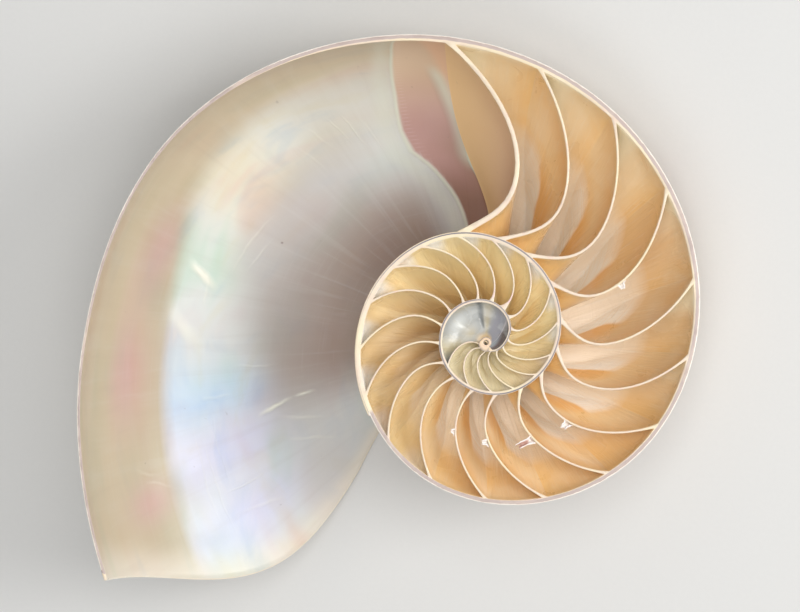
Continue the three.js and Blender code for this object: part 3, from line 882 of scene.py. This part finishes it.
_, first, merged = np.unique(np.round(all_points, 8), axis=0, return_index=True, return_inverse=True)
merged = merged.reshape(-1)
face_points, face_corners, face_stuffs = [], [], []
for face, stuff in zip(skin_faces, skin_stuffs):
    ring = {int(merged[corner]): corner for corner in reversed(face)}
    if len(ring) > 2:
        face_points.append(list(reversed(ring.keys())))
        face_corners.extend(reversed(ring.values()))
        face_stuffs.append(stuff)

mesh = bpy.data.meshes.new("nautilus_shell")
mesh.from_pydata(all_points[first].tolist(), [], face_points)
mesh.polygons.foreach_set("material_index", face_stuffs)
mesh.polygons.foreach_set("use_smooth", [True] * len(mesh.polygons))
for k, name in enumerate(MEASURES):
    layer = mesh.attributes.new(name, "FLOAT", "CORNER")
    layer.data.foreach_set("value", np.concatenate(skin_measures)[face_corners, k].astype(np.float32))
tints = np.concatenate(skin_tints)[face_corners]
layer = mesh.attributes.new("tint", "FLOAT_COLOR", "CORNER")
solid_tints = np.concatenate([tints, np.ones((len(tints), 1))], 1)
layer.data.foreach_set("color", solid_tints.astype(np.float32).ravel())
mesh.set_sharp_from_angle(angle=math.radians(SHARP_FROM_DEGREES))
for finish in (outside_finish, sawn_finish, living_chamber_finish, chamber_finish, first_hollow_finish):
    mesh.materials.append(finish.material)
mesh.update()
shell = bpy.data.objects.new("nautilus_shell", mesh)
bpy.context.scene.collection.objects.link(shell)
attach(shell, "root")
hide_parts("nautilus_shell_half")


# The siphuncle: what is left of the chalky tube that ran back through every septum. Short broken collars,
# sawn open with the shell, stand behind five of the septa; the longest still has a piece of tube on it.

SIPHUNCLE_AT = 0.59
SIPHUNCLE_WALL = 0.3
TUBE_RINGS = 14
TUBE_SIDES = 18
TUBE_WRAP = 128
# Partition, length, radius, how far it keeps its width to the end, rust inside; lengths in millimetres.
COLLARS = [
    (3, 1.9, 0.95, 0.6, 0), (6, 2.4, 1.0, 0.7, 0.1), (7, 4.8, 0.85, 0.8, 1), (8, 1.7, 0.85, 0.6, 0),
    (9, 1.2, 0.75, 0.6, 0),
]
CHALK = colour(254, 248, 242)
CHALK_PINK = colour(242, 218, 210)
TUBE_RUST = colour(190, 122, 96)
ragged = np.random.default_rng(11)


def collar_tube(number, length, radius, kept, rusty):
    """A tube with its upper side gone: rings of points down the outer side and back up the inner side."""
    share = np.array(SIPHUNCLE_AT)
    turn = septum_back(number, share, np.array(0.0)) + 0.5
    root = place(turn, hollow_point(turn, share, np.array(0.0)))
    back = np.radians(turn - 90)
    axis, sideways = np.array([np.cos(back), np.sin(back), 0]), np.array([-np.sin(back), np.cos(back), 0])
    angle = np.linspace(-1, 1, TUBE_SIDES) * np.radians(TUBE_WRAP)
    torn = ragged.uniform(0.62, 1.0, TUBE_SIDES)
    torn = (torn + np.roll(torn, 1)) / 2
    down = even(TUBE_RINGS)[:, None]
    crumbled = ragged.uniform(-0.05, 0.05, (TUBE_RINGS + 1, TUBE_SIDES))
    lumpy = 1 + 0.09 * np.sin(3 * angle + 9 * down + number) + crumbled
    flare = 1 + 0.6 * np.exp(-down / 0.15)
    outer = radius * flare * (1 - (1 - kept) * down) * lumpy
    shells = []
    for size in (outer, outer - SIPHUNCLE_WALL * (1.1 - 0.4 * down)):
        points = root + axis * (down * length * torn)[..., None]
        points = points + sideways * (size * np.sin(angle))[..., None]
        points[..., 2] = np.minimum(points[..., 2] - size * np.cos(angle) - 0.2 * radius, -0.05)
        shells.append(points)
    rings = np.concatenate([shells[0], shells[1][:, ::-1]], 1)
    across = rings.shape[1]
    number_at = np.arange(rings[..., 0].size).reshape(rings.shape[:2])
    closed = np.concatenate([number_at, number_at[:, :1]], 1)
    quads = np.stack([closed[:-1, :-1], closed[:-1, 1:], closed[1:, 1:], closed[1:, :-1]], -1).reshape(-1, 4)
    faces = [tuple(int(k) for k in quad) for quad in quads]
    for row, turned in ((0, False), (TUBE_RINGS, True)):
        for k in range(TUBE_SIDES - 1):
            ring = [k, across - 1 - k, across - 2 - k, k + 1]
            faces.append(tuple(int(number_at[row, c]) for c in (ring[::-1] if turned else ring)))
    rust = rusty * np.concatenate([np.zeros(TUBE_SIDES), np.ones(TUBE_SIDES)]) * smooth(down, 0.25, 0.5)
    blush = 0.3 * (1 - smooth(down, 0.0, 0.3)) * np.ones(across)
    tints = painted(CHALK, (CHALK_PINK, blush), (TUBE_RUST, 0.8 * rust))
    return rings.reshape(-1, 3), faces, np.broadcast_to(tints, rings.shape).reshape(-1, 3)


collar_points, collar_faces, collar_tints = [], [], []
for collar in COLLARS:
    points, faces, tints = collar_tube(*collar)
    start = sum(len(p) for p in collar_points)
    collar_faces.extend(tuple(k + start for k in face) for face in faces)
    collar_points.append(points)
    collar_tints.append(tints)

f = siphuncle_finish = Finish("siphuncle")
crumb = f.noise(scale=1300, detail=4, roughness=0.7)
flecks = f.noise(scale=700, detail=3)
tint = f.mix(f.times(f.slide(flecks, 0.5, 0.68), 0.5), f.tint, CHALK_PINK)
f.finish(tint, f.slide(crumb, 0.3, 0.7, 0.6, 0.85), f.times(crumb, 0.0001), coat_weight=0.05)

siphuncle_mesh = bpy.data.meshes.new("siphuncle_remains")
siphuncle_points = np.concatenate(collar_points) * MM @ np.array(tip).T + axis_at
siphuncle_mesh.from_pydata(siphuncle_points.tolist(), [], collar_faces)
layer = siphuncle_mesh.attributes.new("tint", "FLOAT_COLOR", "POINT")
tints = np.concatenate(collar_tints)
solid_tints = np.concatenate([tints, np.ones((len(tints), 1))], 1)
layer.data.foreach_set("color", solid_tints.astype(np.float32).ravel())
siphuncle_mesh.materials.append(siphuncle_finish.material)
siphuncle = bpy.data.objects.new("siphuncle_remains", siphuncle_mesh)
bpy.context.scene.collection.objects.link(siphuncle)
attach(siphuncle, "root")


# The setting: a plain pale floor, soft studio light and the camera square to the sawn face.

FLOOR_REACH = 2
floor_corners = [(x * FLOOR_REACH, y * FLOOR_REACH, 0) for x, y in ((-1, -1), (1, -1), (1, 1), (-1, 1))]
floor_mesh = bpy.data.meshes.new("floor")
floor_mesh.from_pydata(floor_corners, [], [(0, 1, 2, 3)])
floor = bpy.data.objects.new("floor", floor_mesh)
bpy.context.scene.collection.objects.link(floor)
f = floor_finish = Finish("floor_paper")
fibre = f.noise(scale=900, detail=3)
paper = f.mix(f.times(fibre, 0.2), colour(226, 225, 222), colour(214, 213, 210))
f.finish(paper, f.slide(fibre, 0, 1, 0.8, 0.95), f.times(fibre, 0.00002))
floor_mesh.materials.append(floor_finish.material)

PICTURE_WIDTH = 800
MM_PER_PIXEL = 0.24
COIL_CENTRE_PIXEL = (486, 342.5)
PICTURE_MIDDLE = (400, 306)
CAMERA_DISTANCE = 0.75
SENSOR = 36
face_up = tip @ Vector((0, 0, 1))
middle = Vector((
    (PICTURE_MIDDLE[0] - COIL_CENTRE_PIXEL[0]) * MM_PER_PIXEL * MM,
    (COIL_CENTRE_PIXEL[1] - PICTURE_MIDDLE[1]) * MM_PER_PIXEL * MM,
    0,
))
look_at = tip @ middle + Vector(axis_at)
camera_data = bpy.data.cameras.new("camera")
camera_data.sensor_width = SENSOR
camera_data.lens = SENSOR * CAMERA_DISTANCE / (PICTURE_WIDTH * MM_PER_PIXEL * MM)
camera = bpy.data.objects.new("camera", camera_data)
camera.matrix_world = Matrix.Translation(look_at + face_up * CAMERA_DISTANCE) @ tip.to_4x4()
bpy.context.scene.collection.objects.link(camera)
bpy.context.scene.camera = camera


def add_softbox(name, toward, distance, size, watts, tone=(1, 1, 1)):
    """A soft light, placed as seen in the picture: to the right, to the top and towards the camera."""
    data = bpy.data.lights.new(name, "AREA")
    data.shape = "RECTANGLE"
    data.size, data.size_y = size
    data.energy = watts
    data.color = tone
    lamp = bpy.data.objects.new(name, data)
    direction = tip @ Vector(toward).normalized()
    lamp.location = look_at + direction * distance
    lamp.rotation_euler = direction.to_track_quat("Z", "Y").to_euler()
    bpy.context.scene.collection.objects.link(lamp)


add_softbox("key_softbox", toward=(0.95, 0.1, 0.85), distance=0.9, size=(0.4, 0.6), watts=4.7)
add_softbox("front_softbox", toward=(0.0, 0.1, 1.0), distance=1.3, size=(0.9, 0.9), watts=6.6)
add_softbox("fill_softbox", toward=(-0.2, -0.9, 0.9), distance=1.2, size=(0.8, 0.8), watts=3.3)
world = bpy.data.worlds.new("studio")
world.use_nodes = True
world.node_tree.nodes["Background"].inputs["Color"].default_value = (0.95, 0.97, 1.0, 1)
world.node_tree.nodes["Background"].inputs["Strength"].default_value = 0.3
bpy.context.scene.world = world
bpy.context.scene.view_settings.view_transform = "Standard"
